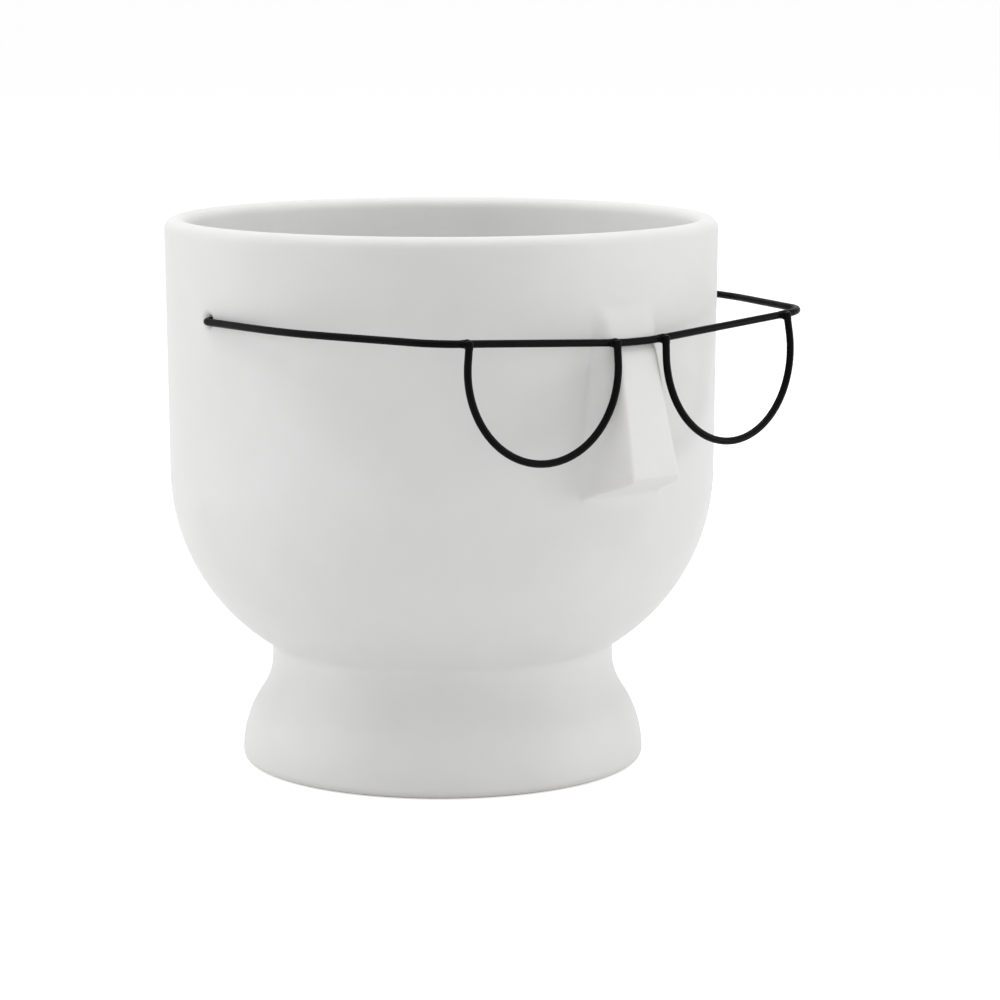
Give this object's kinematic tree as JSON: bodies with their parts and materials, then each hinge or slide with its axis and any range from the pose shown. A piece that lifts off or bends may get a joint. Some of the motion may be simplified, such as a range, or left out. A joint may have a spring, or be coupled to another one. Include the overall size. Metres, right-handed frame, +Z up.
{
  "type": "head planter",
  "caption": "Round white ceramic head planter with a raised nose, narrow neck and flared foot, wearing black wire spectacles that are hooked into its sides and swing up.",
  "frame": {"origin": "on the table, under the middle of the pot's foot", "axes": "+Z up, the face and its nose look along -Y, +X is the pot's right-hand side as seen from the front"},
  "size_m": [0.2062, 0.2158, 0.199],
  "materials": {
    "white_ceramic": "matt white glaze",
    "black_wire": "satin black coating over steel wire"
  },
  "bodies": {
    "pot": {"ceramic_pot": "white_ceramic"},
    "glasses": {"main_wire": "black_wire", "right_rim_wire": "black_wire", "left_rim_wire": "black_wire", "rim_welds": "black_wire"}
  },
  "joints": [
    {"name": "glasses_swing", "type": "hinge", "parent": "pot", "child": "glasses", "pos_m": [0, 0.0057, 0.16699], "axis": [-1, 0, 0], "range_deg": [0, 213.5]}
  ]
}
